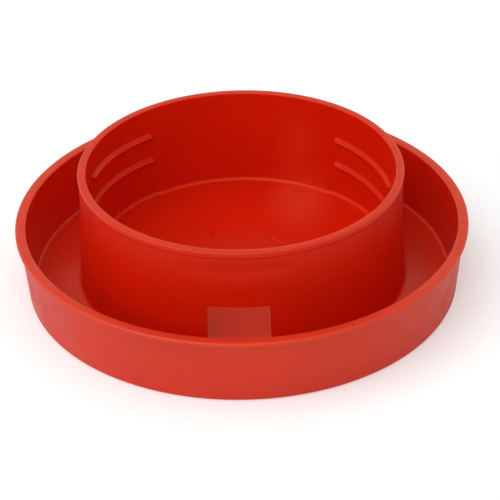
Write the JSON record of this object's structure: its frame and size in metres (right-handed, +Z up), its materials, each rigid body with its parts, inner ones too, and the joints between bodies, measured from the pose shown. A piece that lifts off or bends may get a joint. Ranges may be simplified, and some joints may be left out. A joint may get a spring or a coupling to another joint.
{
  "type": "quail waterer base",
  "caption": "Round trough base with a raised, internally threaded jar collar and a drinking window, for a gravity waterer for quail chicks.",
  "frame": {"origin": "centre of the foot, on the ground", "axes": "+Z up along the axis of the jar collar, drinking window towards -Y, +X to the right when facing the window"},
  "size_m": [0.105, 0.105, 0.0292],
  "materials": {
    "moulded_plastic": "satin red moulding"
  },
  "bodies": {
    "root": {"waterer_base": "moulded_plastic"}
  },
  "joints": []
}
